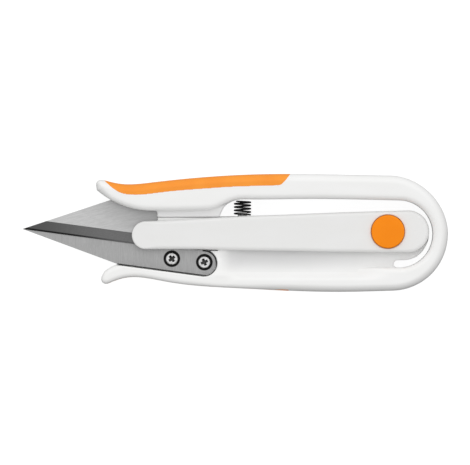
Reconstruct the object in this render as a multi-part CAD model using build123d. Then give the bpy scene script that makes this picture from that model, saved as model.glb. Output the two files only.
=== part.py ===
from build123d import *
import math
import os

# Thread snips: two blades on the arms of one sprung U-shaped handle, crossing between two guide bars.
# All sizes are in millimetres.  The model is drawn with the plane in which the blades meet at z = 0,
# the blade tips towards -X and the flexing loop at +X, and is lifted on export to stand on z = 0.

# ---- driving dimensions -------------------------------------------------------------------------
length = 127.0                # blade tips to the far side of the loop
thickness = 12.4              # arms and loop, along Z
half_length = length / 2
half_thick = thickness / 2

# loop that joins the arms
loop_outer_r = 17.2
loop_outer_x = half_length - loop_outer_r
loop_inner_r = 10.0
loop_inner_x = 48.95
loop_inner_y = -0.25

# blades
tip_y = 1.24
blade_thick = 1.2
blade_gap = 0.04              # between the two blades
blade_axis_tilt = -1.0        # degrees, the line midway between the cutting edges
back_x, back_y = -35.04, -9.27        # where the lower blade's back meets its arm
tang_x, tang_y, tang_r = -9.3, -8.95, 3.7
tang_top_y = -5.15
heel_x = -23.2                # rear end of the cutting edge
heel_step_y = -4.0            # where the heel's end meets the tang's straight side
edge_angle = 5.7              # degrees, lower blade's cutting edge
bevel_width = 3.3
bevel_depth = 0.85
pocket_clearance = 0.12

# screws
screw_spots = [(-18.9, -7.63), (-9.2, -8.67)]
screw_turns = [38.0, 24.0]    # degrees, how the cross recess happens to stand
screw_head_r = 1.95
screw_head_high = 1.05
screw_rim_high = 0.45         # straight side of the head, below its rounded crown
screw_shank_r = 0.95
screw_long = 5.0
screw_point_r = 0.3
screw_point_long = 1.2
recess_long, recess_wide, recess_deep = 2.0, 0.5, 0.55
recess_floor_r, recess_mouth_r, recess_cone_high = 0.25, 0.62, 0.75
counterbore_r = 2.48
counterbore_deep = 0.5
screw_hole_r = 1.05
pilot_fit = 0.02
pilot_deep = 5.7              # bottom of the pilot holes below the blades' meeting plane

# guide bars and the core web between them
web_half = 1.4
guide_thick = 3.35
guide_nose_x, guide_nose_y, guide_nose_r = -26.6, -0.6, 4.2
guide_end_x, guide_end_y, guide_end_r = 51.6, 0.5, 6.27
core_left_x = -4.6
core_top_y = 4.85
core_low_y = -10.6            # inside the lower arm, which the web is moulded on
core_end_x, core_end_y, core_end_r = 50.4, -0.95, 7.08
slot_y, slot_r, slot_left_x = -9.18, 1.05, 48.4
peg_spots = [(6.0, 0.0), (20.0, 0.0), (34.0, 0.0)]
peg_r = 1.2
peg_fit = 0.02
peg_grip = 1.6

# lock button
button_x, button_y = 45.55, 0.46
button_r = 5.0
button_hole_r = 5.2
button_thick = 3.0
button_travel = 1.0
button_proud = 1.05           # front button above its guide when the lock is on
button_socket = 2.0
stem_r = 2.0
stem_hole_r = 2.05
stem_neck_r = 1.5
clip_wire_r = 0.3
clip_slack = 0.05
clip_reach = 3.2              # half the length of the clip's legs

# spring
spring_x = 2.2
spring_r = 2.4
spring_wire_r = 0.24
spring_low_y = 5.25
spring_high_y = 9.72
spring_turns = 5.5
post_r = 1.4
post_high = 1.1               # how far the post stands up inside the coil
post_root = 0.7

# flange that carries a blade, and the soft grips
flange_half = 3.2
flange_y = 4.8
pocket_y = 5.25               # the tang's side of a flange stops here, clear of the guide bars
grip_skin = 1.3
grip_left_x, grip_right_x = -39.3, 16.65
edge_round = 1.0
button_round = 0.6
beyond = half_thick + 1.0     # outside every piece, for cutters that go right through

heel_y = tip_y + (heel_x + half_length) * math.tan(math.radians(edge_angle))
blade_near = blade_gap / 2
blade_far = blade_near + blade_thick
guide_top = web_half + guide_thick
loop_inner_split_x = loop_inner_x + math.sqrt(loop_inner_r**2 - loop_inner_y**2)


# ---- helpers ------------------------------------------------------------------------------------
def raised(face, low, high):
    """Solid between two heights from a flat face in the XY plane."""
    return Pos(0, 0, low) * extrude(face, high - low, dir=(0, 0, 1))


def slab(outline, low, high):
    """Solid between two heights from closed edges that lie in the XY plane."""
    return raised(make_face(outline), low, high)


def disc(x, y, r, low, high):
    """Upright cylinder between two heights."""
    return Pos(x, y, (low + high) / 2) * Cylinder(r, high - low)


def turned_over(shape):
    """The shape turned half round about the X axis, front to back."""
    return Rot(180, 0, 0) * shape


def across_blades(x, y):
    """Mirror a point of the lower blade in the line midway between the cutting edges."""
    twice = math.radians(2 * blade_axis_tilt)
    dx, dy = x + half_length, y - tip_y
    return (
        -half_length + dx * math.cos(twice) + dy * math.sin(twice),
        tip_y + dx * math.sin(twice) - dy * math.cos(twice),
    )


def save(node, solid):
    """Write one sub-part, lifted so that the handles rest on z = 0."""
    lifted = Pos(0, 0, half_thick) * solid
    lifted.label = node
    export_step(lifted, f"parts/{node}.step")


# ---- handles ------------------------------------------------------------------------------------
def loop_half_edges(side):
    """Split face and both arcs of one half of the loop; side is +1 above, -1 below."""
    split = Line((loop_inner_split_x, 0), (half_length, 0))
    mid = math.sqrt(0.5)
    outer = ThreePointArc(
        (half_length, 0),
        (loop_outer_x + loop_outer_r * mid, side * loop_outer_r * mid),
        (loop_outer_x, side * loop_outer_r),
    )
    inner = ThreePointArc(
        (loop_inner_split_x, 0),
        (loop_inner_x + loop_inner_r * mid, loop_inner_y + side * loop_inner_r * mid),
        (loop_inner_x, loop_inner_y + side * loop_inner_r),
    )
    return split, outer, inner


def upper_outline():
    """Closed edge of the upper arm and its half of the loop."""
    split, outer, inner = loop_half_edges(1)
    back = Spline(
        outer @ 1, (16.9, 17.5), (-6.8, 16.56), (-25.1, 15.0), (-32.0, 14.5), (-38.9, 15.7),
        tangents=[(-1, 0), (-1, 0.45)],
    )
    nose = Spline(back @ 1, (-41.3, 15.3), (-41.04, 12.71))
    chin = Spline(nose @ 1, (-37.25, 9.96), (-32.7, 7.99), (-28.0, 6.85), (-23.25, 6.61))
    front = Line(chin @ 1, (-8.0, 6.85))
    throat = Spline(front @ 1, (-4.9, 7.84), (-2.3, 8.95), (0.2, 9.85), (4.0, 10.05))
    under = Line(throat @ 1, inner @ 1)
    return split + outer + back + nose + chin + front + throat + under + inner


def lower_outline():
    """Closed edge of the lower arm and its half of the loop."""
    split, outer, inner = loop_half_edges(-1)
    back = Spline(
        outer @ 1, (24.7, -17.5), (7.2, -16.75), (-11.3, -15.7), (-26.9, -13.35), (-32.5, -13.35),
        (-37.9, -15.05), tangents=[(-1, 0), (-1, -0.35)],
    )
    nose = Spline(back @ 1, (-39.85, -13.9), (-38.98, -11.39))
    chin = Spline(nose @ 1, (back_x, back_y), (-29.9, -7.3), (-23.25, -6.61))
    front = Line(chin @ 1, (-8.0, -6.85))
    throat = Spline(front @ 1, (-4.9, -7.9), (-2.3, -9.1), (0.2, -10.05), (4.0, (inner @ 1).Y))
    under = Line(throat @ 1, inner @ 1)
    return split + outer + back + nose + chin + front + throat + under + inner


def flange_outline(side):
    """Closed edge of the step that backs a blade's tang, beyond the front face of an arm."""
    near = side * flange_y
    far = side * 9.0
    return Polyline((-23.25, near), (-4.64, near), (-3.4, side * 7.6), (-1.2, side * 9.5),
                    (-1.2, side * 10.5), (-10.0, far), (-23.25, side * 7.6), close=True)


# ---- blades -------------------------------------------------------------------------------------
def blade_points(place):
    """Corners of a blade's outline; place maps a lower-blade point to the blade's own side."""
    return [place(*p) for p in (
        (-half_length, tip_y),
        (back_x, back_y),
        (tang_x - 0.5, tang_y - tang_r),
        (tang_x + tang_r, tang_y),
        (tang_x, tang_top_y),
        (heel_x, heel_step_y),
        (heel_x, heel_y),
    )]


def blade_outline(place):
    """Closed edge of a blade: straight back, round tang, heel and straight cutting edge."""
    tip, back, low, far, top, step, heel = blade_points(place)
    round_low = place(tang_x + tang_r * 0.66, tang_y - tang_r * 0.75)
    round_top = place(tang_x + tang_r * 0.76, tang_y + tang_r * 0.65)
    return (
        Line(tip, back) + Line(back, low) + ThreePointArc(low, round_low, far)
        + ThreePointArc(far, round_top, top) + Line(top, step) + Line(step, heel) + Line(heel, tip)
    )


def bevel_cutter(place, side):
    """Wedge that grinds the cutting edge from the blade's outer face; side is +1 in front."""
    run = Vector(*place(heel_x, heel_y)) - Vector(*place(-half_length, tip_y))
    along = run.normalized()
    inward = Vector(*place(heel_x, heel_y - 1)) - Vector(*place(heel_x, heel_y))
    inward = (inward - along * inward.dot(along)).normalized()
    start = Vector(*place(-half_length, tip_y)) - along * 8
    top = side * (blade_far + 1)
    section = Plane(origin=start, x_dir=inward, z_dir=along)
    rise = section.y_dir.Z
    land = (blade_far - bevel_depth) * side * rise
    face_z = blade_far * side * rise
    over_z = top * rise
    slope = (face_z - land) / bevel_width
    wedge = Polyline((-3, land - 3 * slope), (bevel_width, face_z),
                     (bevel_width + (over_z - face_z) / slope, over_z), (-3, over_z), close=True)
    return extrude(section * make_face(wedge), run.length + 16)


def blade(place, side):
    """One blade with its ground bevel, screw holes and counterbores."""
    low, high = sorted((side * blade_near, side * blade_far))
    solid = slab(blade_outline(place), low, high)
    solid -= bevel_cutter(place, side)
    for x, y in screw_spots:
        x, y = place(x, y)
        solid -= disc(x, y, screw_hole_r, -beyond, beyond)
        floor = side * (blade_near + counterbore_deep)
        solid -= disc(x, y, counterbore_r, *sorted((floor, -side * beyond)))
    return solid


# ---- fasteners ----------------------------------------------------------------------------------
def blade_screw(x, y, side, turn):
    """Pan-head screw whose head sits in the blade's counterbore; side is +1 for the front blade."""
    profile = Polyline((0, -screw_long), (screw_point_r, -screw_long),
                       (screw_shank_r, -screw_long + screw_point_long), (screw_shank_r, 0),
                       (screw_head_r, 0), (screw_head_r, screw_rim_high), (0, screw_rim_high), close=True)
    body = revolve(Plane.XZ * make_face(profile), Axis.Z)
    crown = disc(0, 0, screw_head_r, screw_rim_high, screw_head_high)
    body += fillet(crown.edges().group_by(Axis.Z)[-1], screw_rim_high)
    slot = Pos(0, 0, screw_head_high) * Box(recess_long, recess_wide, 2 * recess_deep)
    for angle in (0, 90):
        body -= Rot(0, 0, angle + turn) * slot
    cone = Cone(recess_floor_r, recess_mouth_r, recess_cone_high)
    body -= Pos(0, 0, screw_head_high + 0.025 - recess_cone_high / 2) * cone
    body = Pos(x, y, -(blade_near + counterbore_deep)) * body
    return body if side < 0 else turned_over(body)


# ---- guide bars ---------------------------------------------------------------------------------
def guide_outline():
    """Closed edge of the front guide bar: round nose, gently flaring sides and round end."""
    nose = ThreePointArc((guide_nose_x, guide_nose_y + guide_nose_r),
                         (guide_nose_x - guide_nose_r, guide_nose_y),
                         (guide_nose_x, guide_nose_y - guide_nose_r))
    low = Spline(nose @ 1, (-1.5, -5.05), (guide_end_x, guide_end_y - guide_end_r))
    end = ThreePointArc(low @ 1, (guide_end_x + guide_end_r, guide_end_y),
                        (guide_end_x, guide_end_y + guide_end_r))
    top = Spline(end @ 1, (16.0, 5.57), (-9.8, 4.4), nose @ 0)
    return nose + low + end + top


def guide_bar():
    """Solid bar with a rounded rim, face up."""
    bar = slab(guide_outline(), web_half, guide_top)
    return fillet(bar.edges().group_by(Axis.Z)[-1], edge_round)


def front_guide():
    """Front bar with the button's hole and the pegs that lock it to the core and the rear bar."""
    bar = guide_bar() - disc(button_x, button_y, button_hole_r, 0, beyond)
    for x, y in peg_spots:
        bar += disc(x, y, peg_r, -web_half - peg_grip, web_half + 0.5)
    return bar


def rear_guide():
    """The same bar turned over, with sockets in place of pegs."""
    bar = turned_over(guide_bar()) - disc(button_x, button_y, button_hole_r, -beyond, 0)
    for x, y in peg_spots:
        bar -= disc(x, y, peg_r + peg_fit, -web_half - peg_grip, 0)
    return bar


def core_web():
    """Thin web moulded on the lower arm: it carries the guide bars, the spring and the lock."""
    end_top = core_end_y + core_end_r
    end_low = core_end_y - core_end_r
    edge = (
        Line((core_left_x, core_low_y), (core_left_x, core_top_y))
        + Line((core_left_x, core_top_y), (core_end_x, end_top))
        + ThreePointArc((core_end_x, end_top), (core_end_x + core_end_r, core_end_y), (core_end_x, end_low))
        + Line((core_end_x, end_low), (core_end_x, core_low_y))
        + Line((core_end_x, core_low_y), (core_left_x, core_low_y))
    )
    web = slab(edge, -web_half, web_half)
    slot_long = half_length - slot_left_x
    web -= Pos(slot_left_x + slot_long / 2, slot_y, 0) * Box(slot_long, 2 * slot_r, 2 * beyond)
    web -= disc(slot_left_x, slot_y, slot_r, -beyond, beyond)
    web -= disc(button_x, button_y, stem_hole_r, -beyond, beyond)
    for x, y in peg_spots:
        web -= disc(x, y, peg_r + peg_fit, -beyond, beyond)
    web -= lock_clip(clip_slack + clip_wire_r)
    post_mid = spring_low_y + (post_high - post_root) / 2
    web += Pos(spring_x, post_mid, 0) * Rot(90, 0, 0) * Cylinder(post_r, post_high + post_root)
    return web


# ---- lock ---------------------------------------------------------------------------------------
def lock_button(side):
    """Round button with a blind socket for the stem; side is +1 in front, -1 behind."""
    top = guide_top + (button_proud if side > 0 else button_proud - button_travel)
    cap = disc(0, 0, button_r, top - button_thick, top)
    cap = fillet(cap.edges().group_by(Axis.Z)[-1], button_round)
    cap -= disc(0, 0, stem_r + peg_fit, 0, top - button_thick + button_socket)
    if side < 0:
        cap = turned_over(cap)
    return Pos(button_x, button_y, 0) * cap


def lock_stem():
    """Bolt that joins the two buttons, with a wide groove that sets their travel."""
    high = guide_top + button_proud - button_thick + button_socket
    low = -(guide_top + button_proud - button_travel - button_thick + button_socket)
    stem = disc(button_x, button_y, stem_r, low, high)
    groove_low = -clip_wire_r - clip_slack
    groove_high = clip_wire_r + clip_slack + button_travel
    ring = disc(button_x, button_y, stem_r + 1, groove_low, groove_high)
    ring -= disc(button_x, button_y, stem_neck_r, groove_low - 1, groove_high + 1)
    return stem - ring


def lock_clip(wire_r=clip_wire_r):
    """Hairpin of round wire that straddles the stem's neck inside the core web."""
    leg_y = stem_neck_r + clip_wire_r + clip_slack
    leg = Rot(0, 90, 0) * Cylinder(wire_r, 2 * clip_reach)
    upper_leg = Pos(button_x, button_y + leg_y, 0) * leg
    lower_leg = Pos(button_x, button_y - leg_y, 0) * leg
    ring = Pos(button_x - clip_reach, button_y, 0) * Torus(leg_y, wire_r)
    bend = ring - Pos(button_x - clip_reach + beyond / 2, button_y, 0) * Box(beyond, beyond, beyond)
    return upper_leg + lower_leg + bend


# ---- spring -------------------------------------------------------------------------------------
def return_spring():
    """Compression coil with its axis along Y."""
    high = spring_high_y - spring_low_y - 2 * spring_wire_r
    coil = Helix(high / spring_turns, high, spring_r)
    start = Plane(origin=coil @ 0, z_dir=coil % 0)
    wire = sweep(start * Circle(spring_wire_r), path=coil, is_frenet=True)
    return Pos(spring_x, spring_low_y + spring_wire_r, 0) * Rot(-90, 0, 0) * wire


# ---- soft grips ---------------------------------------------------------------------------------
def grip_outline(side):
    """Closed edge of the inlay on an arm's face, run out past the arm's outer edge."""
    inner = Spline((grip_left_x, side * 15.75), (-36.0, side * 12.86), (-31.2, side * 11.33),
                   (-19.0, side * 12.35), (-0.7, side * 13.69), (12.9, side * 14.15))
    bend = Spline(inner @ 1, (14.35, side * 14.7), (grip_right_x, side * 17.6),
                  tangents=[(1, side * 0.01), (0.62, side * 0.8)])
    outside = side * (loop_outer_r + 2.8)
    return inner + bend + Polyline(bend @ 1, (grip_right_x, outside), (grip_left_x, outside), inner @ 0)


def grip_zone(side):
    """Room that the inlay takes on the outer quarter of an arm, over half the thickness."""
    low, high = sorted((0, side * beyond))
    return slab(grip_outline(side), low, high)


def raw_handles():
    """Both handles before their pockets are cut, and both grips."""
    handles, grips = {}, {}
    for name, side, edge in (("upper", 1, upper_outline()), ("lower", -1, lower_outline())):
        arm = slab(edge, -half_thick, half_thick)
        under_skin = Pos(0, -side * grip_skin, -side * grip_skin) * arm
        grip = (arm & grip_zone(side)) - under_skin
        handles[name] = arm - grip + slab(flange_outline(side), -flange_half, flange_half)
        grips[name] = grip
    return handles, grips


def as_drawn(x, y):
    """Place of a lower-blade point on the lower blade itself."""
    return x, y


def blade_pocket(place, side):
    """Room in an arm for its blade and the other arm's: round the tang and out to the middle."""
    tip, back, low, far, top, step, heel = blade_points(place)
    behind_tip, behind_web, past_middle = -70.0, 0.0, -side * 6.0
    swept = Polyline(back, low, far, (top[0] + 2.0, side * pocket_y), (behind_web, side * pocket_y),
                     (behind_web, past_middle), (behind_tip, past_middle), tip, close=True)
    around = offset(make_face(blade_outline(place)), pocket_clearance)
    z_in, z_out = sorted((side * blade_far, -side * beyond))
    return [slab(swept, z_in, z_out), raised(around, z_in, z_out)]


def pilot_holes(place, side):
    """Holes under the blade for the screws' shanks."""
    z_in, z_out = sorted((side * counterbore_deep, side * pilot_deep))
    return [disc(*place(x, y), screw_shank_r + pilot_fit, z_in, z_out) for x, y in screw_spots]


def main():
    """Write every sub-part."""
    os.makedirs("parts", exist_ok=True)
    handles, grips = raw_handles()
    for name, place, side in (("lower", as_drawn, -1), ("upper", across_blades, 1)):
        for cutter in blade_pocket(place, side) + pilot_holes(place, side):
            handles[name] -= cutter
    handles["lower"] += core_web()
    for name in ("lower", "upper"):
        save(f"{name}_handle", handles[name])
        save(f"{name}_grip", grips[name])
    save("front_guide", front_guide())
    save("rear_guide", rear_guide())
    save("lower_blade", blade(as_drawn, -1))
    save("upper_blade", blade(across_blades, 1))
    for label, (x, y), turn in zip(("front", "back"), screw_spots, screw_turns):
        save(f"lower_screw_{label}", blade_screw(x, y, -1, turn))
        upper_x, upper_y = across_blades(x, y)
        save(f"upper_screw_{label}", blade_screw(upper_x, -upper_y, 1, turn))
    save("return_spring", return_spring())
    save("lock_button_front", lock_button(1))
    save("lock_button_rear", lock_button(-1))
    save("lock_stem", lock_stem())
    save("lock_clip", lock_clip())


main()
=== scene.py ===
import math

import bpy
import numpy as np
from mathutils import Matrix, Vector


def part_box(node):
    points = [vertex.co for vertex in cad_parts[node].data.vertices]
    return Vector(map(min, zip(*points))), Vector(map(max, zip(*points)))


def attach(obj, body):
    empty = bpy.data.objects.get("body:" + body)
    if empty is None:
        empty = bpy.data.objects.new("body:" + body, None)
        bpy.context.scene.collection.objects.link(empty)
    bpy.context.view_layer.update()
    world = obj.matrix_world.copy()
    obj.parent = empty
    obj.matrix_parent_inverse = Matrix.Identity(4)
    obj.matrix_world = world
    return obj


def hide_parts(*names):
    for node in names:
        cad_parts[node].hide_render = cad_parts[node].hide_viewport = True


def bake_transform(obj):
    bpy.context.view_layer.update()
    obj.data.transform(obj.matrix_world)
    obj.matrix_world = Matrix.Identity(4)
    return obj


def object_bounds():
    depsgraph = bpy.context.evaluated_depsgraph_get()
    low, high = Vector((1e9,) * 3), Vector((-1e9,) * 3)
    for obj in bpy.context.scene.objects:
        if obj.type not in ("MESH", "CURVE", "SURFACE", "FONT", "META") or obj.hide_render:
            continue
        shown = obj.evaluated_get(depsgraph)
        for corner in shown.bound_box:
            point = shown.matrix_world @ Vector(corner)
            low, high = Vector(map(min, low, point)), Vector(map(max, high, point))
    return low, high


# Thread snips.  Shapes are worked out in millimetres about the plane where the blades meet, then
# lifted into the frame.  Moulded pieces are distance fields turned into meshes, so that every edge
# has the round that a mould leaves.

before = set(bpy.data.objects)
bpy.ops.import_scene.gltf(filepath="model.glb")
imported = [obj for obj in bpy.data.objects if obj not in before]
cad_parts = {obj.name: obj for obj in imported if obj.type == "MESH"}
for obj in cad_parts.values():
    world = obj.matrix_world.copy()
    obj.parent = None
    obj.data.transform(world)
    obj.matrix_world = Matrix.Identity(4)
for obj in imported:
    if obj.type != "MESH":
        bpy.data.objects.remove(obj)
cad_box = [[float(v) for v in corner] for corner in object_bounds()]

MM = 0.001
handle_low, handle_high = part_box("lower_handle")
MID = (handle_low[2] + handle_high[2]) / 2 / MM         # height of the blades' meeting plane
HALF = (handle_high[2] - handle_low[2]) / 2 / MM        # half the handles' thickness
TIP_X = cad_box[0][0] / MM
RIGHT_X = cad_box[1][0] / MM

# loop and arms
OUTER_R = 17.2
OUTER_C = (RIGHT_X - OUTER_R, 0.0)
LOOP_POWERS = (2.04, 1.89)    # fullness of the loop's lower and upper quarters; 2 is round
INNER_R = 10.0
INNER_C = (48.95, -0.25)
ROUND_OUT = 2.7               # rounding along the outer edges
ROUND_IN = 1.7                # rounding along the inner edges
ROUND_FLAT = 1.4              # rounding of the outer edges on the faces without a grip
ROUND_DEPTH = 4.6             # how far in from the outer edge the inner rounding takes over
FLAT_LONG = 18.0              # from here to the loop every outer edge has the same rounding
GRIP_PROUD = 0.03             # how far the grips stand over the plastic
GRIP_SKIN = 1.2               # thickness of the grips
GRIP_LIMIT = 0.15             # height at which the grip ends on the arm's outer edge
WRAP_MORE, WRAP_START, WRAP_FADE = 5.0, 2.0, 12.0     # near its end it wraps this much further round

UPPER_BACK = [(46.3, 17.2), (31.0, 17.5), (16.9, 17.66), (5.0, 17.5), (-6.8, 16.88), (-16.0, 16.1),
              (-25.1, 15.1), (-29.5, 14.65), (-34.0, 14.7), (-38.9, 15.75)]
UPPER_NOSE = [(-38.9, 15.75), (-40.4, 15.9), (-41.35, 15.2), (-41.45, 14.1), (-41.28, 12.8)]
UPPER_CHIN = [(-41.28, 12.8), (-39.3, 11.3), (-37.25, 9.96), (-35.0, 8.85), (-32.4, 7.85), (-29.6, 7.1),
              (-26.5, 6.72), (-23.25, 6.61), (-15.9, 6.7), (-9.8, 6.85), (-6.2, 7.25), (-4.4, 7.95)]
UPPER_THROAT = [(-4.4, 7.95), (-2.3, 9.0), (0.4, 9.9), (4.0, 10.08), (20.0, 10.2), (34.0, 10.1),
                (48.95, 9.75)]
LOWER_BACK = [(46.3, -17.2), (36.0, -17.48), (24.7, -17.47), (16.0, -17.18), (7.2, -16.75), (-2.0, -16.3),
              (-11.3, -15.7), (-19.0, -14.75), (-26.0, -13.5), (-30.6, -13.12), (-34.0, -13.6),
              (-37.9, -15.05)]
LOWER_NOSE = [(-37.9, -15.05), (-38.9, -15.1), (-39.8, -14.4), (-39.85, -13.1), (-38.98, -11.39)]
LOWER_CHIN = [(-38.98, -11.39), (-37.2, -10.14), (-35.04, -9.2), (-32.0, -7.95), (-29.0, -7.1),
              (-26.0, -6.7), (-23.25, -6.61), (-15.9, -6.7), (-9.8, -6.9), (-6.2, -7.25), (-4.4, -7.95)]
LOWER_THROAT = [(-4.4, -7.95), (-2.3, -9.1), (0.4, -10.1), (4.0, -10.25), (25.0, -10.25), (48.95, -10.25)]
GRIP_EDGE = [(-39.6, 16.1), (-37.85, 14.38), (-36.0, 12.86), (-33.9, 11.78), (-31.2, 11.33), (-28.1, 11.33),
             (-23.8, 11.78), (-19.0, 12.35), (-12.9, 12.86), (-6.8, 13.3), (-0.7, 13.69), (7.2, 13.96),
             (12.3, 14.1)]
GRIP_END = [(12.3, 14.1), (13.5, 14.25), (14.5, 15.0), (16.65, 17.7)]

# blades
TIP = (TIP_X, 1.24)
BACK = (-35.04, -9.27)        # where the lower blade's back goes under its arm
TANG = (-9.3, -8.95)          # middle of the tang's round end
TANG_R = 3.7
AXIS_TILT = math.radians(-1.0)          # the line midway between the cutting edges
SCREWS = [(-18.9, -7.63), (-9.2, -8.67)]
SCREW_TURNS = (38.0, 24.0)    # degrees, how each cross recess stands
PILOT_R = 0.97                # holes under the screws, and their reach from the blades' meeting plane
PILOT_NEAR, PILOT_DEEP = 0.7, 4.6
RING_R = 2.54                 # counterbore round a screw's head
RIM_LINE = 0.3                # width of the shadow line round a blade
BLADE_FAR = 1.22              # depth of the pockets from the blades' meeting plane
POCKET_GAP = 0.3              # clearance round a blade
POCKET_ARC = (-97, 68)        # the pocket's round end, in degrees about the tang
POCKET_CORNER = 5.25          # how far from the middle line the pocket ends beside the web
EDGE_ANGLE = math.radians(5.7)          # rise of the lower blade's cutting edge, which ends at HEEL_X
HEEL_X = -23.2
BEVEL_WIDTH = 3.3

FLANGE_HALF = 3.2             # half thickness of the flanges that back the tangs

# cove that runs from the core web up the faces of the lower arm
COVE_TOP, COVE_WIDE, COVE_POWER = -5.3, 8.4, 1.7
TANG_COVE_TOP, TANG_COVE_WIDE = -7.0, 6.0     # the same beside the blade's tang
TANG_COVE_END, TANG_COVE_FADE = -3.5, 6.5
COVE_LEFT, COVE_FADE_IN = -12.0, 6.0
COVE_RIGHT, COVE_FADE_OUT = 50.0, 14.0
LOWER_SIDE = -4.0             # the cove is kept to the arm below this line
OVER = 0.5                    # clearance of a cut that is to leave the faces alone

# guide bars and the core web between them
WEB_HALF = 1.4
WEB_LEFT = -4.6
WEB_CUT = -5.2                # the blades' pockets cut the web only to the left of this
POST_TOP, POST_HALF_LONG = 5.3, 1.0
STEM_HOLE_R = 2.05
WEB_PROUD = 0.03              # the web stands this far over the cove, and sinks under it further out
WEB_DIP, DIP_TOP, DIP_WIDE = 0.16, -11.0, 2.2
BAR_ROUND = 1.1
GUIDE_TOP = 4.75
GUIDE_TOP_EDGE = [(51.6, 6.77), (42.0, 6.5), (33.5, 6.26), (16.0, 5.57), (-1.5, 4.9), (-9.8, 4.4),
                  (-22.0, 3.75), (-26.6, 3.6)]
GUIDE_LOW_EDGE = [(-26.6, -4.8), (-9.8, -4.86), (-1.5, -5.05), (16.0, -5.3), (33.5, -5.6), (51.6, -5.77)]
LEDGE = (-23.1, 2.0, 4.66, 2.9)          # left, right, outer side and height of the bar's low ledge
GUIDE_NOSE = ((-26.6, -0.6), 4.2)
GUIDE_END = ((51.6, 0.5), 6.27)
CORE_END = ((50.4, -0.95), 7.08)
SLOT = ((48.4, -9.18), 1.05)
NOSE_RAMP_X = -23.6           # the bar's face falls away to the left of this, at this slope
NOSE_RAMP = 0.10
PEGS = (6.0, 20.0, 34.0)      # X of the pegs that join the two bars
PEG_R = 1.2

# lock button and spring
BUTTON = (45.55, 0.46)
BUTTON_R = 4.95
BUTTON_HOLE_R = 5.06
BUTTON_LONG, BUTTON_ROLL, BUTTON_DOME = 3.0, 0.4, 0.12
SPRING_X = 2.2
SPRING_LOW, SPRING_HIGH = 5.2, 9.78
SPRING_R = 2.37
WIRE_R = 0.25


# ---- curves in the plane ------------------------------------------------------------------------
def smooth(points, spacing=0.45):
    """Natural cubic spline through the points, sampled about every spacing millimetres."""
    p = np.array(points, float)
    t = np.concatenate([[0], np.cumsum(np.hypot(*np.diff(p, axis=0).T))])
    n, h = len(p), np.diff(t)
    rows, right = np.eye(n), np.zeros((n, 2))
    for i in range(1, n - 1):
        rows[i, i - 1:i + 2] = h[i - 1], 2 * (h[i - 1] + h[i]), h[i]
        right[i] = 6 * ((p[i + 1] - p[i]) / h[i] - (p[i] - p[i - 1]) / h[i - 1])
    m = np.linalg.solve(rows, right)
    s = np.linspace(0, t[-1], max(3, int(t[-1] / spacing)))
    k = np.clip(np.searchsorted(t, s, side="right") - 1, 0, n - 2)
    a, b = (t[k + 1] - s)[:, None], (s - t[k])[:, None]
    w = h[k][:, None]
    return (m[k] * a**3 + m[k + 1] * b**3) / (6 * w) + (p[k] / w - m[k] * w / 6) * a \
        + (p[k + 1] / w - m[k + 1] * w / 6) * b


def arc(centre, r, start, end, spacing=0.4):
    """Points of an arc, from start to end degrees."""
    count = max(3, int(abs(math.radians(end - start)) * r / spacing))
    a = np.radians(np.linspace(start, end, count))
    return np.stack([centre[0] + r * np.cos(a), centre[1] + r * np.sin(a)], axis=1)


def full_arc(centre, r, start, end, power):
    """Points of an arc that is a little fuller (power over 2) or flatter than a circle."""
    dx, dy = (arc((0, 0), 1.0, start, end, 0.4 / r)).T
    reach = r * (np.abs(dx)**power + np.abs(dy)**power)**(-1 / power)
    return np.stack([centre[0] + reach * dx, centre[1] + reach * dy], axis=1)


def join(*runs):
    """One closed outline from runs of points that meet end to end."""
    points = np.concatenate([np.array(run, float) for run in runs])
    keep = np.hypot(*(points - np.roll(points, 1, axis=0)).T) > 1e-6
    return points[keep]


def across_blades(point):
    """Mirror a point of the lower blade in the line midway between the cutting edges."""
    dx, dy = point[0] - TIP[0], point[1] - TIP[1]
    c, s = math.cos(2 * AXIS_TILT), math.sin(2 * AXIS_TILT)
    return TIP[0] + dx * c + dy * s, TIP[1] + dx * s - dy * c


def mirrored(points):
    """The points with Y turned round."""
    return [(x, -y) for x, y in points]


class Flat:
    """Signed distance to a closed outline, negative inside, held on a fine grid."""

    def __init__(self, outline, step=0.2, margin=4.0):
        self.step = step
        self.low = outline.min(axis=0) - margin
        size = np.ceil((outline.max(axis=0) + margin - self.low) / step).astype(int) + 1
        x = self.low[0] + step * np.arange(size[0])[:, None]
        y = self.low[1] + step * np.arange(size[1])[None, :]
        best = np.full(size, np.inf)
        inside = np.zeros(size, bool)
        for (ax, ay), (bx, by) in zip(outline, np.roll(outline, -1, axis=0)):
            ex, ey = bx - ax, by - ay
            t = np.clip(((x - ax) * ex + (y - ay) * ey) / (ex * ex + ey * ey), 0, 1)
            best = np.minimum(best, (x - ax - t * ex)**2 + (y - ay - t * ey)**2)
            if ey:
                inside ^= ((y < by) != (y < ay)) & (x < ax + ex * (y - ay) / ey)
        self.grid = np.where(inside, -1, 1) * np.sqrt(best)

    def __call__(self, x, y):
        """Distance at points, by blending the four grid values round each."""
        u = np.clip((x - self.low[0]) / self.step, 0, self.grid.shape[0] - 1.001)
        v = np.clip((y - self.low[1]) / self.step, 0, self.grid.shape[1] - 1.001)
        i, j = u.astype(int), v.astype(int)
        u, v = u - i, v - j
        g = self.grid
        return (g[i, j] * (1 - u) + g[i + 1, j] * u) * (1 - v) \
            + (g[i, j + 1] * (1 - u) + g[i + 1, j + 1] * u) * v


# ---- fields in space ----------------------------------------------------------------------------
def smooth_min(a, b, k):
    """Union with a fillet about k wide."""
    h = np.maximum(k - np.abs(a - b), 0) / k
    return np.minimum(a, b) - h * h * k / 4


def smooth_max(a, b, k):
    """Intersection with a round about k wide."""
    return -smooth_min(-a, -b, k)


def ease(t):
    """Smooth step from 0 to 1."""
    t = np.clip(t, 0, 1)
    return t * t * (3 - 2 * t)


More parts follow.
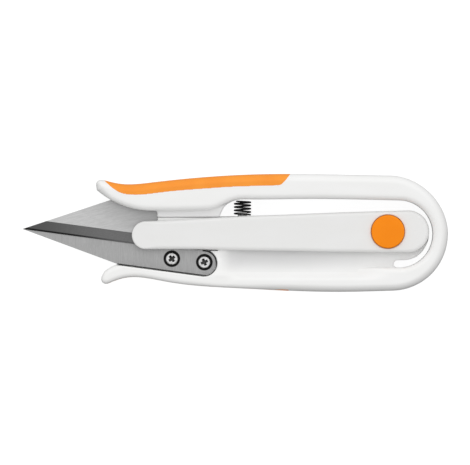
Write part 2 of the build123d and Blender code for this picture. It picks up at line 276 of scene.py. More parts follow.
def plate(side, height, r):
    """Slab with rounded rims from its distance to the side wall and to its faces."""
    a, b = side + r, height + r
    return np.minimum(np.maximum(a, b), 0) + np.hypot(np.maximum(a, 0), np.maximum(b, 0)) - r


def surface(field, low, high, step):
    """Vertices and quads of the field's zero surface (surface nets, then moved onto it)."""
    low = np.array(low, float)
    axes = [np.arange(low[i], high[i] + step, step) for i in range(3)]
    f = field(*np.meshgrid(*axes, indexing="ij"))
    cells = np.array(f.shape) - 1
    total, count = np.zeros((cells.prod(), 3)), np.zeros(cells.prod())
    rings = []
    for axis in range(3):
        b_axis, c_axis = (axis + 1) % 3, (axis + 2) % 3
        first = np.moveaxis(f, axis, 0)[:-1]
        second = np.moveaxis(f, axis, 0)[1:]
        where = np.stack(np.nonzero((first < 0) != (second < 0)), axis=1)
        a, b = first[tuple(where.T)], second[tuple(where.T)]
        order = [axis] + [k for k in range(3) if k != axis]
        spot = np.empty_like(where)
        spot[:, order] = where
        point = spot.astype(float)
        point[:, axis] += a / (a - b)
        ring = []
        for db, dc in ((1, 1), (0, 1), (0, 0), (1, 0)):
            cell = spot.copy()
            cell[:, b_axis] -= db
            cell[:, c_axis] -= dc
            ring.append(np.ravel_multi_index(tuple(cell.T), tuple(cells)))
        for ids in ring:
            count += np.bincount(ids, minlength=len(count))
            for k in range(3):
                total[:, k] += np.bincount(ids, weights=point[:, k], minlength=len(count))
        ring = np.stack(ring, axis=1)
        ring[a >= 0] = ring[a >= 0][:, ::-1]
        rings.append(ring)
    used = np.nonzero(count)[0]
    index = np.full(len(count), -1)
    index[used] = np.arange(len(used))
    v = low + step * total[used] / count[used][:, None]
    nudge = 0.02
    for _ in range(3):
        d = field(*v.T)
        grad = np.stack([field(*(v + nudge * e).T) - field(*(v - nudge * e).T) for e in np.eye(3)], axis=1)
        grad /= 2 * nudge
        size = np.maximum((grad**2).sum(axis=1), 0.25)
        move = -(d / size)[:, None] * grad
        v = v + np.clip(move, -0.5 * step, 0.5 * step)
    return v, index[np.concatenate(rings)]


def piece(name, points, faces, body=None, replaces=(), material=None, dark=None):
    """Mesh object from millimetre points, riding on a body."""
    mesh = bpy.data.meshes.new(name)
    lifted = (np.asarray(points) + [0, 0, MID]) * MM
    mesh.from_pydata(lifted.tolist(), [], [list(map(int, f)) for f in faces])
    mesh.validate()
    mesh.polygons.foreach_set("use_smooth", [True] * len(mesh.polygons))
    mesh.update()
    obj = bpy.data.objects.new(name, mesh)
    bpy.context.scene.collection.objects.link(obj)
    mesh.materials.append(material)
    if dark:
        mesh.materials.append(dark[1])
        mesh.polygons.foreach_set("material_index", dark[0])
    if body:
        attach(obj, body)
    if replaces:
        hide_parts(*replaces)
    return obj


# ---- node materials -----------------------------------------------------------------------------
class Nodes:
    """Short-hand for building a node material."""

    def __init__(self, name):
        self.material = bpy.data.materials.new(name)
        self.material.use_nodes = True
        self.tree = self.material.node_tree
        self.shader = self.tree.nodes["Principled BSDF"]
        self.spot = self.tree.nodes.new("ShaderNodeTexCoord").outputs["Object"]

    def set(self, **values):
        """Constant values on the shader's own sockets."""
        for key, value in values.items():
            self.shader.inputs[key.replace("_", " ")].default_value = value

    def link(self, source, target):
        """Wire a source to a socket of the shader or of a node."""
        self.tree.links.new(source, self.shader.inputs[target] if isinstance(target, str) else target)

    def add(self, kind, inputs=(), out=0, **settings):
        """One node; inputs are (socket, value or source) pairs."""
        node = self.tree.nodes.new("ShaderNode" + kind)
        for key, value in settings.items():
            setattr(node, key, value)
        for socket, value in dict(inputs).items():
            if isinstance(value, bpy.types.NodeSocket):
                self.tree.links.new(value, node.inputs[socket])
            else:
                node.inputs[socket].default_value = value
        return node.outputs[out]

    def math(self, operation, a, b=0.0):
        """One math node."""
        return self.add("Math", {0: a, 1: b}, operation=operation)

    def noise(self, scale, stretch=(1, 1, 1), turn=0.0, detail=3.0, roughness=0.5):
        """Noise over the object, turned about Z and stretched; scale is per metre."""
        place = self.add("Mapping", {"Vector": self.spot, "Rotation": (0, 0, turn)})
        place = self.add("VectorMath", {0: place, 1: stretch}, operation="MULTIPLY")
        return self.add("TexNoise", {"Vector": place, "Scale": scale, "Detail": detail,
                                     "Roughness": roughness})

    def ramp(self, value, low, high, out_low, out_high):
        """Map a value from one range to another, smoothly and held at the ends."""
        return self.add("MapRange", {0: value, 1: low, 2: high, 3: out_low, 4: out_high},
                        interpolation_type="SMOOTHSTEP")

    def blend(self, share, a, b):
        """Mix two colours."""
        node = self.tree.nodes.new("ShaderNodeMix")
        node.data_type = "RGBA"
        for socket, value in ((0, share), (6, a), (7, b)):
            if isinstance(value, bpy.types.NodeSocket):
                self.tree.links.new(value, node.inputs[socket])
            else:
                node.inputs[socket].default_value = value
        return node.outputs[2]

    def axes(self):
        """The object's X and Y at the shaded point."""
        return [self.add("SeparateXYZ", {0: self.spot}, out=k) for k in (0, 1)]

    def bump(self, height, strength, distance):
        """Bump the shader's normal."""
        made = self.add("Bump", {"Strength": strength, "Distance": distance, "Height": height})
        self.link(made, "Normal")


def grey(value):
    """Neutral colour."""
    return (value, value, value, 1.0)


def white_plastic(name, shade, hollow_painted_shade=1.0, flange_painted_shade=1.0):
    """Satin moulded plastic with a fine spark-eroded texture and faint flow marks, with painted shade under
    the guide bar and on the flanges.
    """
    m = Nodes(name)
    flow = m.noise(60, stretch=(1, 3, 3))
    warm = (0.985 * shade, 0.984 * shade, 0.973 * shade, 1)
    colour = m.blend(m.ramp(flow, 0.35, 0.7, 0, 1), warm, (shade, shade, 0.994 * shade, 1))
    if hollow_painted_shade < 1.0:
        # Painted shade on the web below the guide bar, weaker towards the loop and gone by the tang.
        x, y = m.axes()
        bar_painted_shade = m.ramp(y, -13.0 * MM, -7.5 * MM, 0, 1)
        bar_painted_shade = m.math("MULTIPLY", bar_painted_shade, m.ramp(x, -6.0 * MM, -1.0 * MM, 0, 1))
        bar_painted_shade = m.math("MULTIPLY", bar_painted_shade, m.ramp(x, 12.0 * MM, 46.0 * MM, 1, 0.5))
        colour = m.blend(bar_painted_shade, colour, grey(shade * hollow_painted_shade))
    if flange_painted_shade < 1.0:
        # Painted shade on the flanges beside the blades' tangs; step is its mask.
        x, y = m.axes()
        step = m.ramp(m.math("ABSOLUTE", y), 5.8 * MM, 7.4 * MM, 1, 0)
        step = m.math("MULTIPLY", step, m.ramp(x, -5.0 * MM, 3.0 * MM, 1, 0))
        colour = m.blend(step, colour, grey(shade * flange_painted_shade))
    m.link(colour, "Base Color")
    m.link(m.ramp(m.noise(900), 0.3, 0.7, 0.33, 0.42), "Roughness")
    m.bump(m.noise(5200, detail=2.0), 0.12, 0.00004)
    m.set(IOR=1.49, Specular_IOR_Level=0.45)
    return m.material


def orange_rubber(name, colour, deep, rough, gloss):
    """Soft grip rubber: very fine grain and a slight bloom."""
    m = Nodes(name)
    cloud = m.noise(140, detail=4.0)
    m.link(m.blend(m.ramp(cloud, 0.35, 0.68, 0, 1), deep, colour), "Base Color")
    m.link(m.ramp(m.noise(1500), 0.3, 0.7, rough - 0.05, rough + 0.07), "Roughness")
    m.bump(m.noise(4200, detail=3.0), 0.22, 0.00006)
    m.set(IOR=1.47, Specular_IOR_Level=gloss)
    return m.material


def steel(name, shade, turn, along):
    """Ground steel with streaks: the material, its fine streaks and its colour."""
    m = Nodes(name)
    fine = m.noise(900, stretch=along, turn=turn, detail=5.0, roughness=0.65)
    broad = m.noise(220, stretch=along, turn=turn, detail=2.0)
    tone = m.math("ADD", m.math("MULTIPLY", fine, 0.65), m.math("MULTIPLY", broad, 0.35))
    colour = m.blend(m.ramp(tone, 0.3, 0.7, 0, 1), grey(shade * 0.84), grey(shade * 1.12))
    return m, fine, colour


def painted_ring_shade(m, colour, spots):
    """Paint the counterbore round each screw near black, as the shade in that recess."""
    for x, y in spots:
        flat = m.add("VectorMath", {0: m.spot, 1: (1, 1, 0)}, operation="MULTIPLY")
        far = m.add("VectorMath", {0: flat, 1: (x * MM, y * MM, 0)}, out=1, operation="DISTANCE")
        ring = m.ramp(far, (RING_R - 0.1) * MM, RING_R * MM, 1, 0)
        colour = m.blend(ring, colour, grey(0.012))
    return colour


def dark_rim(m, place):
    """Mask of the shadow line along the blade's back and round its tang, where it lies in its pocket."""
    x = m.axes()[0]
    flat = m.add("VectorMath", {0: m.spot, 1: (1, 1, 0)}, operation="MULTIPLY")
    tang = place(TANG)
    far = m.add("VectorMath", {0: flat, 1: (tang[0] * MM, tang[1] * MM, 0)}, out=1, operation="DISTANCE")
    tang_line = m.math("MULTIPLY", m.ramp(far, (TANG_R - RIM_LINE) * MM, (TANG_R - RIM_LINE / 2) * MM, 0, 1),
                       m.ramp(x, (tang[0] - 0.6) * MM, (tang[0] - 0.2) * MM, 0, 1))
    run = np.array(place(BACK)) - np.array(TIP)
    out = np.array([-run[1], run[0]]) / np.hypot(*run)
    if np.dot(out, np.array(tang) - np.array(TIP)) > 0:
        out = -out
    low = np.array(place((TANG[0] - 0.5, TANG[1] - TANG_R)))
    chord = low - np.array(place(BACK))
    side = np.array([-chord[1], chord[0]]) / np.hypot(*chord)
    side = side if np.dot(side, out) > 0 else -side
    reach = m.add("VectorMath", {0: m.spot, 1: (side[0], side[1], 0)}, out=1, operation="DOT_PRODUCT")
    level = float(np.dot(side, low))
    back_line = m.math("MULTIPLY", m.ramp(reach, (level - RIM_LINE) * MM, (level - RIM_LINE / 2) * MM, 0, 1),
                       m.ramp(x, (BACK[0] - 0.4) * MM, BACK[0] * MM, 0, 1))
    away = m.ramp(reach, (level - TANG_R - 0.6) * MM, (level - TANG_R + 0.6) * MM, 1, 0)
    return m.math("MAXIMUM", m.math("MULTIPLY", tang_line, away), back_line)


def blade_material(name, place, side, shade, turn, along, rough, bevel_painted_shade, tang_painted_shade):
    """Steel for one blade, with its bevel and shadow lines; place maps lower-blade points to this blade.

    side is +1 for the front blade; tang_painted_shade is how much painted shade darkens the face at its
    tang.
    """
    m, fine, colour = steel(name, shade, turn, along)
    heel = place((HEEL_X, TIP[1] + (HEEL_X - TIP[0]) * math.tan(EDGE_ANGLE)))
    run = np.array(heel) - np.array(TIP)
    run /= np.hypot(*run)
    inward = np.array([-run[1], run[0]]) * side
    depth = m.add("VectorMath", {0: m.spot, 1: (inward[0], inward[1], 0)}, out=1, operation="DOT_PRODUCT")
    depth = m.math("SUBTRACT", depth, float(np.dot(inward, TIP)) * MM)
    outward = m.add("VectorMath", {0: m.spot, 1: (0, 0, side)}, out=1, operation="DOT_PRODUCT")
    outer = m.ramp(outward, (side * MID + 0.15) * MM, (side * MID + 0.25) * MM, 0, 1)
    on_bevel = m.ramp(depth, (BEVEL_WIDTH - 0.06) * MM, (BEVEL_WIDTH + 0.02) * MM, 1, 0)
    on_bevel = m.math("MULTIPLY", on_bevel, outer)
    # Painted shade: the face darkens towards its tang, where the arm shades it.
    across = m.add("VectorMath", {0: m.spot, 1: (0.6, 0.8, 0)}, out=1, operation="DOT_PRODUCT")
    colour = m.blend(m.ramp(across, -25 * MM, -6 * MM, 0, tang_painted_shade), colour, grey(shade * 0.3))
    line = m.math("ABSOLUTE", m.math("SUBTRACT", depth, BEVEL_WIDTH * MM))
    # The bevel is painted darker than the face, as its tilted face's dimmer reflection; the grind streaks in
    # it are the steel's own.
    bevel = m.blend(m.ramp(fine, 0.3, 0.7, 0, 1), grey(bevel_painted_shade * 0.85), grey(bevel_painted_shade * 1.15))
    # Painted shade along the bevel's upper boundary.
    bevel = m.blend(m.ramp(line, 0.05 * MM, 0.3 * MM, 0.4, 0), bevel, grey(bevel_painted_shade * 0.5))
    x = m.axes()[0]
    # Painted shade: the bevel darkens towards the tip.
    bevel = m.blend(m.ramp(x, -62 * MM, -38 * MM, 0.7, 0), bevel, grey(bevel_painted_shade * 0.4))
    # Painted shadow line along the cutting edge, heavier towards the tip.
    cutting_edge_painted_shadow = m.math("MULTIPLY", m.ramp(depth, 0.42 * MM, 0.62 * MM, 1, 0),
                  m.ramp(x, -50 * MM, -32 * MM, 0.95, 0.25))
    bevel = m.blend(cutting_edge_painted_shadow, bevel, grey(0.012))
    colour = m.blend(on_bevel, colour, bevel)
    # Painted shade in the counterbores round the screws.
    colour = painted_ring_shade(m, colour, [place(p) for p in SCREWS])
    colour = m.blend(dark_rim(m, place), colour, grey(0.02))
    m.link(colour, "Base Color")
    m.link(m.ramp(fine, 0.3, 0.7, rough - 0.06, rough + 0.08), "Roughness")
    m.bump(fine, 0.10, 0.00003)
    m.set(Metallic=1.0, IOR=2.0)
    return m.material


def screw_material(name, low, high):
    """Bright zinc-plated steel with a little grime; with near-black greys it is instead the painted shade in
    the screws' cross recesses.
    """
    m = Nodes(name)
    cloud = m.noise(1600, detail=4.0)
    m.link(m.blend(m.ramp(cloud, 0.35, 0.65, 0, 1), grey(low), grey(high)), "Base Color")
    m.link(m.ramp(cloud, 0.3, 0.7, 0.24, 0.36), "Roughness")
    m.bump(m.noise(6000), 0.05, 0.00002)
    m.set(Metallic=1.0)
    return m.material


def spring_material():
    """Black phosphated spring wire."""
    m = Nodes("spring_steel")
    cloud = m.noise(2500, detail=3.0)
    m.link(m.blend(m.ramp(cloud, 0.3, 0.7, 0, 1), grey(0.006), grey(0.02)), "Base Color")
    m.link(m.ramp(cloud, 0.3, 0.7, 0.35, 0.5), "Roughness")
    m.bump(cloud, 0.1, 0.00002)
    m.set(Metallic=0.6)
    return m.material


# The handle gets painted shade on its flanges, the web painted shade below the guide bar.
WHITE = white_plastic("white_plastic", 0.90, 1.0, 0.9)
WEB_WHITE = white_plastic("web_white_plastic", 0.90, 0.78)
BAR_WHITE = white_plastic("guide_white_plastic", 0.828)
ORANGE = orange_rubber("orange_grip", (0.98, 0.337, 0.031, 1), (0.95, 0.305, 0.025, 1), 0.5, 0.35)
BUTTON_ORANGE = orange_rubber("orange_button", (0.98, 0.272, 0.002, 1), (0.95, 0.255, 0.001, 1), 0.55, 0.2)
SCREW_STEEL = screw_material("screw_steel", 0.5, 0.68)
# Painted shade: the screws' cross recesses are near black.
RECESS_PAINTED_SHADE = screw_material("screw_recess_painted_shade", 0.03, 0.06)
BLACK_WIRE = spring_material()


# ---- handle -------------------------------------------------------------------------------------
inner_arc = arc(INNER_C, INNER_R, 90, -90)
outer_arc = join(full_arc(OUTER_C, OUTER_R, -90, 0, LOOP_POWERS[0]),
                 full_arc(OUTER_C, OUTER_R, 0, 90, LOOP_POWERS[1]))
upper_run = [smooth(UPPER_BACK), smooth(UPPER_NOSE, 0.25), smooth(UPPER_CHIN), smooth(UPPER_THROAT)]
lower_run = [smooth(LOWER_BACK), smooth(LOWER_NOSE, 0.25), smooth(LOWER_CHIN), smooth(LOWER_THROAT)]
arms = Flat(join(*upper_run, inner_arc, *[run[::-1] for run in lower_run[::-1]], outer_arc))
whole = Flat(join(upper_run[0], upper_run[1], lower_run[1][::-1], lower_run[0][::-1], outer_arc), step=0.4)


def flange_outline(side):
    """Step that backs a blade's tang beyond the front face of an arm."""
    edge = [(-23.25, 4.8), (-4.64, 4.8), (-4.1, 6.3), (-3.42, 7.6), (-2.46, 8.73), (-1.15, 9.6), (0.4, 10.4),
            (-1.0, 11.5), (-10.0, 9.5), (-23.25, 7.6)]
    return np.array(edge if side > 0 else mirrored(edge))


def pocket_outline(place, side):
    """Room for a blade in its arm: along the back, round the tang and out to the middle."""
    run = np.array(BACK) - np.array(TIP)
    out = np.array([run[1], -run[0]]) / np.hypot(*run) * POCKET_GAP
    start = np.array(TIP) + out - run * 0.2
    tang = arc(TANG, TANG_R + POCKET_GAP, *POCKET_ARC)
    room = [place(p) for p in (start, np.array(BACK) + out, *tang)]
    return np.array(room + [(0.0, side * POCKET_CORNER), (0.0, -side * 2), (TIP_X - 11.5, -side * 2)])


flange_up, flange_low = Flat(flange_outline(1)), Flat(flange_outline(-1))
pocket_up = Flat(pocket_outline(across_blades, 1), step=0.25)
pocket_low = Flat(pocket_outline(lambda p: p, -1), step=0.25)


def arm_solid(x, y, z):
    """Both arms and the loop before anything is cut."""
    depth = -whole(x, y)
    outer = ROUND_OUT + (ROUND_FLAT - ROUND_OUT) * ease((FLAT_LONG - x) / FLAT_LONG) * (y * z < 0)
    r = outer + (ROUND_IN - outer) * ease(depth / ROUND_DEPTH)
    return plate(arms(x, y), np.abs(z) - HALF, r)


def blade_room(x, y, z):
    """Both blade pockets."""
    low = np.maximum(pocket_low(x, y), -BLADE_FAR - z)
    up = np.maximum(pocket_up(x, y), z - BLADE_FAR)
    return np.minimum(low, up)


def screw_room(x, y, z):
    """Pilot holes under the blades' screws."""
    best = np.full(np.shape(x), np.inf)
    middle, half = (PILOT_DEEP + PILOT_NEAR) / 2, (PILOT_DEEP - PILOT_NEAR) / 2
    for side, place in ((-1, lambda p: p), (1, across_blades)):
        for spot in SCREWS:
            sx, sy = place(spot)
            hole = np.hypot(x - sx, y - sy) - PILOT_R
            best = np.minimum(best, np.maximum(hole, np.abs(z - side * middle) - half))
    return best


def hollow(x, y):
    """Height of the lower arm's faces: one long cove from the web up to the arm's ridge."""
    middle = WEB_HALF + (HALF - WEB_HALF) * np.maximum((COVE_TOP - y) / COVE_WIDE, 0)**COVE_POWER
    end = FLANGE_HALF + (HALF - FLANGE_HALF) * ease((TANG_COVE_TOP - y) / TANG_COVE_WIDE)
    return end + (middle - end) * ease((x - TANG_COVE_END) / TANG_COVE_FADE)


def handle_field(x, y, z):
    """The one-piece handle: arms, loop, flanges and blade pockets."""
    body = arm_solid(x, y, z) + GRIP_PROUD
    share = ease((x - COVE_LEFT) / COVE_FADE_IN) * ease((COVE_RIGHT - x) / COVE_FADE_OUT) * (y < LOWER_SIDE)
    body = smooth_max(body, np.abs(z) - HALF - OVER + share * (OVER + HALF - hollow(x, y)), 0.5)
    for flange in (flange_up, flange_low):
        body = smooth_min(body, plate(flange(x, y), np.abs(z) - FLANGE_HALF, 0.5), 0.7)
    body = smooth_max(body, -blade_room(x, y, z), 0.3)
    return smooth_max(body, -screw_room(x, y, z), 0.1)


points, quads = surface(handle_field, (-42.5, -18.5, -HALF - 0.6), (RIGHT_X + 0.8, 18.5, HALF + 0.6), 0.3)
handle = piece("handle_moulding", points, quads, material=WHITE,
               replaces=("lower_handle", "upper_handle"))
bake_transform(handle)


# ---- core web -----------------------------------------------------------------------------------
core_outline = join([(-6.3, -13.6), (-6.3, -4.9), (WEB_LEFT, -4.9), (WEB_LEFT, 4.7),
                     (CORE_END[0][0], CORE_END[0][1] + CORE_END[1])], arc(*CORE_END, 90, -90),
                    arc(*SLOT, 90, 270), [(56.0, SLOT[0][1] - SLOT[1]), (56.0, -13.6)])
core = Flat(core_outline)


def web_field(x, y, z):
    """Thin web that rises to the lower arm and dips under its skin, with the post for the spring."""
    rise = hollow(x, y) - WEB_HALF + WEB_PROUD - WEB_DIP * ease((DIP_TOP - y) / DIP_WIDE)
    top = WEB_HALF + rise * ease((COVE_RIGHT - x) / COVE_FADE_OUT) * (y < LOWER_SIDE)
    body = plate(core(x, y), np.abs(z) - top, 0.3)
    body = smooth_max(body, 0.05 - np.maximum(blade_room(x, y, z), x - WEB_CUT), 0.2)
    (slot_x, slot_y), slot_r = SLOT
    slot = np.hypot(x - slot_x, y - slot_y)
    slot = np.where(x > slot_x, np.minimum(slot, np.abs(y - slot_y)), slot)
    body = smooth_max(body, slot_r - slot, 0.15)
    post = np.maximum(np.hypot(x - SPRING_X, z) - WEB_HALF, np.abs(y - POST_TOP) - POST_HALF_LONG)
    body = smooth_min(body, post, 0.1)
    return smooth_max(body, STEM_HOLE_R - np.hypot(x - BUTTON[0], y - BUTTON[1]), 0.1)


points, quads = surface(web_field, (-6.9, -14.2, -HALF - 0.3), (58.6, 7.4, HALF + 0.3), 0.3)
piece("core_web", points, quads, "lower_arm", material=WEB_WHITE)


# ---- guide bars ---------------------------------------------------------------------------------
guide = Flat(join(arc(*GUIDE_NOSE, 90, 270), smooth(GUIDE_LOW_EDGE), arc(*GUIDE_END, -90, 90),
                  smooth(GUIDE_TOP_EDGE)))


def bar_field(x, y, z, hole_y):
    """Guide bar, face up: rounded rim, ramped nose and the button's hole."""
    bar = plate(guide(x, y), z - GUIDE_TOP, BAR_ROUND)
    ramp = (z - GUIDE_TOP + NOSE_RAMP * (NOSE_RAMP_X - x)) / math.hypot(1, NOSE_RAMP)
    bar = smooth_max(bar, ramp, 0.1)
    along = np.maximum(LEDGE[0] - x, x - LEDGE[1])
    ledge = np.maximum(along, np.maximum(np.maximum(y - LEDGE[2], -y), z - LEDGE[3]))
    bar = smooth_min(bar, ledge, 0.15)
    bar = smooth_max(bar, WEB_HALF + 0.02 - z, 0.3)
    return smooth_max(bar, BUTTON_HOLE_R - np.hypot(x - BUTTON[0], y - hole_y), 0.2)


def pegs(x, y, r, z, low, high):
    """Round pegs along the middle of the bar."""
    side = np.min([np.hypot(x - px, y) for px in PEGS], axis=0) - r
    return np.maximum(side, np.maximum(low - z, z - high))


def front_guide_field(x, y, z):
    """Front bar with its three pegs."""
    return np.minimum(bar_field(x, y, z, BUTTON[1]), pegs(x, y, PEG_R, z, -3.0, 1.9))


def rear_guide_field(x, y, z):
    """The bar that is turned over, with sockets for the pegs; drawn face up."""
    return smooth_max(bar_field(x, y, z, -BUTTON[1]), -pegs(x, y, PEG_R + 0.05, z, 0.0, 3.05), 0.05)


bar_low, bar_high = (-31.8, -7.0), (58.8, 7.6)
points, quads = surface(front_guide_field, (*bar_low, -3.6), (*bar_high, 5.3), 0.26)
piece("guide_bar_front", points, quads, "lower_arm", ("front_guide",), BAR_WHITE)
points, quads = surface(rear_guide_field, (*bar_low, 0.8), (*bar_high, 5.3), 0.26)
piece("guide_bar_rear", points * [1, -1, -1], quads, "lower_arm", ("rear_guide",), BAR_WHITE)


# ---- soft grips ---------------------------------------------------------------------------------
grip_edge = join(smooth(GRIP_EDGE), smooth(GRIP_END, 0.3), [(16.65, 24.0), (-39.6, 24.0)])


def grip_field(side):
    """Inlay on one arm's face and outer edge; side is +1 in front on the upper arm."""
    zone = Flat(grip_edge * [1, side])

    def field(x, y, z):
        arm = arm_solid(x, y, z)
        skin = smooth_max(arm, -(arm + GRIP_SKIN), 0.2)
        skin = smooth_max(skin, zone(x, y), 0.25)
        wrap = WRAP_MORE * ease((x - WRAP_START) / WRAP_FADE)
        return smooth_max(skin, GRIP_LIMIT - wrap - side * z, 0.25)

    return field


for name, side, body in (("upper", 1, "upper_arm"), ("lower", -1, "lower_arm")):
    ys = sorted((side * 9.5, side * 18.2))
    zs = sorted((-side * HALF, side * (HALF + 0.5)))
    points, quads = surface(grip_field(side), (-42.3, ys[0], zs[0]), (18.0, ys[1], zs[1]), 0.2)
    piece(name + "_grip_inlay", points, quads, body, (name + "_grip",), ORANGE)


# ---- lock button --------------------------------------------------------------------------------
def lathe(profile, count=96):
    """Closed turned shape about Z from (radius, height) points that start and end on the axis."""
    points = [(0.0, 0.0, profile[0][1])]
    for k in range(count):
        a = 2 * math.pi * k / count
        points += [(r * math.cos(a), r * math.sin(a), h) for r, h in profile[1:-1]]
    points.append((0.0, 0.0, profile[-1][1]))
    rows, last = len(profile) - 2, len(points) - 1
    faces = []
    for k in range(count):
        a, b = 1 + k * rows, 1 + (k + 1) % count * rows
        faces.append((0, b, a))
        faces += [(a + i, b + i, b + i + 1, a + i + 1) for i in range(rows - 1)]
        faces.append((a + rows - 1, b + rows - 1, last))
    return np.array(points), faces


def button_profile(top):
    """Half section of a button: rolled rim and a faintly domed face."""
    low, flat_r = top - BUTTON_LONG, BUTTON_R - BUTTON_ROLL
    rim = [(flat_r + BUTTON_ROLL * math.sin(a), top - BUTTON_DOME - BUTTON_ROLL + BUTTON_ROLL * math.cos(a))
           for a in np.radians(np.linspace(90, 0, 9))]
    face = [(r, top - BUTTON_DOME * (r / flat_r)**2) for r in (3.6, 2.8, 2.0, 1.2, 0.5)]
    return [(0, low), (BUTTON_R - 0.5, low), (BUTTON_R - 0.15, low + 0.2), (BUTTON_R, low + 0.5)] \
        + [(BUTTON_R, low + 1.4)] + rim + face + [(0, top)]


for name, side in (("front", 1), ("rear", -1)):
    node = "lock_button_" + name
    low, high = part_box(node)
    top = abs((high[2] if side > 0 else low[2]) / MM - MID)
    points, faces = lathe(button_profile(top))
    middle = [(low[0] + high[0]) / 2 / MM, (low[1] + high[1]) / 2 / MM, 0]
    piece("push_button_" + name, points * [1, side, side] + middle, faces, "lock_button",
          (node,), BUTTON_ORANGE)


# ---- screws -------------------------------------------------------------------------------------
HEAD_R, HEAD_HIGH, SHANK_R, SHANK_LONG = 1.8, 1.03, 0.93, 3.95
SCREW_SEAT = 0.52             # underside of the head, from the blades' meeting plane
RECESS_R = 1.35               # the cross recess lies within this


def screw_field(x, y, z):
    """Pan head with a tapered cross recess, standing on its shank."""
    r = np.hypot(x, y)
    head = plate(r - HEAD_R, np.abs(z - HEAD_HIGH / 2) - HEAD_HIGH / 2, 0.32)
    floor = HEAD_HIGH - 0.85
    flare = np.maximum(z - floor, 0)
    arm_w, arm_l = 0.3 + 0.1 * flare, 0.72 + 0.4 * flare
    cross = np.minimum(np.maximum(np.abs(x) - arm_w, np.abs(y) - arm_l),
                       np.maximum(np.abs(y) - arm_w, np.abs(x) - arm_l))
    cross = smooth_min(cross, r - (0.36 + 0.24 * flare), 0.12)
    head = smooth_max(head, -np.maximum(cross, floor - z), 0.07)
    thread = SHANK_R - 0.1 + 0.1 * np.cos(2 * math.pi * (z / 0.9 - np.arctan2(y, x) / (2 * math.pi)))
    point = np.minimum(thread, np.maximum((z + SHANK_LONG) * 0.9 + 0.1, 0.05))
    shank = np.maximum(r - point, np.maximum(z - 0.3, -SHANK_LONG - z))
    return np.minimum(head, shank)


screw_points, screw_faces = surface(screw_field, (-2.3, -2.3, -5.2), (2.3, 2.3, 1.4), 0.09)
# Faces inside the cross recess, which take the painted-shade material.
face_middle = screw_points[screw_faces].mean(axis=1)
in_recess = (np.hypot(face_middle[:, 0], face_middle[:, 1]) < RECESS_R) & (face_middle[:, 2] > 0.05) \
    & (face_middle[:, 2] < HEAD_HIGH - 0.1)


def put_screw(arm, place, side):
    """Both screws of one blade."""
    for label, spot, turn in zip(("front", "back"), SCREWS, SCREW_TURNS):
        x, y = place(spot)
        c, s = math.cos(math.radians(turn)), math.sin(math.radians(turn))
        p = screw_points @ np.array([[c, s, 0], [-s, c, 0], [0, 0, 1]])
        p = p * [1, -side, -side] + [x, y, side * SCREW_SEAT]
        piece(f"{arm}_blade_screw_{label}", p, screw_faces, arm + "_arm",
              (f"{arm}_screw_{label}",), SCREW_STEEL, (in_recess.astype(int), RECESS_PAINTED_SHADE))


put_screw("lower", lambda p: p, -1)
put_screw("upper", across_blades, 1)


# ---- return spring ------------------------------------------------------------------------------
def coil_points():
    """Line of the wire: closed end turns with open turns between."""
    closed, opened, per_turn = 0.65, 3.1, 30
    turns = opened + 2 * closed
    t = np.linspace(0, turns, int(turns * per_turn) + 1)
    end = 2.1 * WIRE_R
    middle = SPRING_HIGH - SPRING_LOW - 2 * WIRE_R - 2 * end
    rise = np.interp(t, [0, closed, turns - closed, turns], [0, end, end + middle, 2 * end + middle])
    a = 2 * math.pi * t
    return np.stack([SPRING_X + SPRING_R * np.cos(a), SPRING_LOW + WIRE_R + rise, SPRING_R * np.sin(a)],
                    axis=1)


def wire_mesh(line, r, sides=12):
    """Round wire along a line of points, with rounded-off ends."""
    tangent = np.gradient(line, axis=0)
    tangent /= np.linalg.norm(tangent, axis=1)[:, None]
    across = np.cross(tangent, [0, 1, 0])
    across /= np.linalg.norm(across, axis=1)[:, None]
    up = np.cross(across, tangent)
    size = np.full(len(line), r)
    size[[0, -1]] *= 0.55
    a = 2 * math.pi * np.arange(sides) / sides
    ring = np.cos(a)[None, :, None] * across[:, None, :] + np.sin(a)[None, :, None] * up[:, None, :]
    points = (line[:, None, :] + ring * size[:, None, None]).reshape(-1, 3)
    faces = []
    for i in range(len(line) - 1):
        for k in range(sides):
            n = (k + 1) % sides
            faces.append((i * sides + k, i * sides + n, (i + 1) * sides + n, (i + 1) * sides + k))
    faces.append(tuple(range(sides))[::-1])
    faces.append(tuple((len(line) - 1) * sides + k for k in range(sides)))
    return points, faces


points, faces = wire_mesh(coil_points(), WIRE_R)
spring = piece("coil_spring", points, faces, None, ("return_spring",), BLACK_WIRE)
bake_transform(spring)


# ---- finishes on the CAD nodes that stay --------------------------------------------------------
def dress(node, material, bevel=0.0):
    """Give a carried-over node its material and a fine edge."""
    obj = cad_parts[node]
    if obj.material_slots:
        for slot in obj.material_slots:
            slot.material = material
    else:
        obj.data.materials.append(material)
    if bevel:
        edge = obj.modifiers.new("edge", "BEVEL")
        edge.width = bevel * MM
        edge.segments = 2
        edge.limit_method = "ANGLE"
        edge.angle_limit = math.radians(35)


dress("upper_blade", blade_material("upper_blade_steel", across_blades, 1, 0.5, math.radians(-14),
                                    (1, 14, 14), 0.36, 0.18, 0.6))
dress("lower_blade", blade_material("lower_blade_steel", lambda p: p, -1, 0.355, 0.0,
                                    (14, 1, 14), 0.36, 0.17, 0.0))
dress("lock_stem", SCREW_STEEL, 0.1)
dress("lock_clip", SCREW_STEEL)


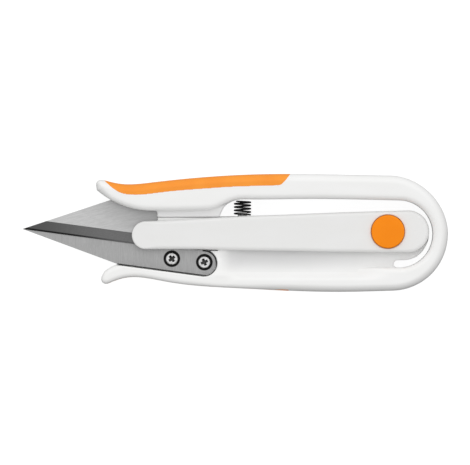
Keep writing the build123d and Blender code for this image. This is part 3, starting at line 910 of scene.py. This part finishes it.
# ---- floor, light and camera --------------------------------------------------------------------
def floor():
    """Pale table, bright enough to read as a white sweep."""
    mesh = bpy.data.meshes.new("floor")
    edge = 3.0
    corners = [(x, y, -0.2 * MM) for x, y in ((-edge, -edge), (edge, -edge), (edge, edge), (-edge, edge))]
    mesh.from_pydata(corners, [], [(0, 1, 2, 3)])
    obj = bpy.data.objects.new("floor", mesh)
    bpy.context.scene.collection.objects.link(obj)
    m = Nodes("floor")
    m.set(Base_Color=grey(0.22), Roughness=0.9, Emission_Color=grey(1.0), Emission_Strength=0.92)
    mesh.materials.append(m.material)
    obj.visible_diffuse = False
    obj.visible_glossy = False


def lamp(name, place, size, power):
    """Square soft box aimed at the object's middle."""
    data = bpy.data.lights.new(name, "AREA")
    data.size = size
    data.energy = power
    obj = bpy.data.objects.new(name, data)
    bpy.context.scene.collection.objects.link(obj)
    obj.location = place
    obj.rotation_euler = (-Vector(place)).to_track_quat("-Z", "Y").to_euler()


def sky(low, high):
    """Soft room light, brighter from the far side of the table (+Y)."""
    world = bpy.data.worlds.new("studio")
    bpy.context.scene.world = world
    world.use_nodes = True
    tree = world.node_tree
    place = tree.nodes.new("ShaderNodeTexCoord").outputs["Generated"]
    axis = tree.nodes.new("ShaderNodeVectorMath")
    axis.operation = "DOT_PRODUCT"
    tree.links.new(place, axis.inputs[0])
    axis.inputs[1].default_value = (0, 0.545, 0.839)
    spread = tree.nodes.new("ShaderNodeMapRange")
    tree.links.new(axis.outputs["Value"], spread.inputs[0])
    for socket, value in zip((1, 2, 3, 4), (-0.75, 1.0, low, high)):
        spread.inputs[socket].default_value = value
    tree.links.new(spread.outputs[0], tree.nodes["Background"].inputs["Strength"])
    tree.nodes["Background"].inputs["Color"].default_value = (1, 1, 1, 1)


def camera():
    """Long lens straight above, framed on the whole length."""
    data = bpy.data.cameras.new("camera")
    obj = bpy.data.objects.new("camera", data)
    bpy.context.scene.collection.objects.link(obj)
    high, wide = 3.0, 0.14035
    data.lens = data.sensor_width * high / wide
    data.clip_end = 20
    obj.location = (-0.00004, 0.00019, high + MID * MM)
    bpy.context.scene.camera = obj


floor()
lamp("key", (0.0, 0.5, 1.0), 0.6, 0.5)
sky(0.0, 1.24)
camera()
bpy.context.scene.view_settings.view_transform = "Standard"
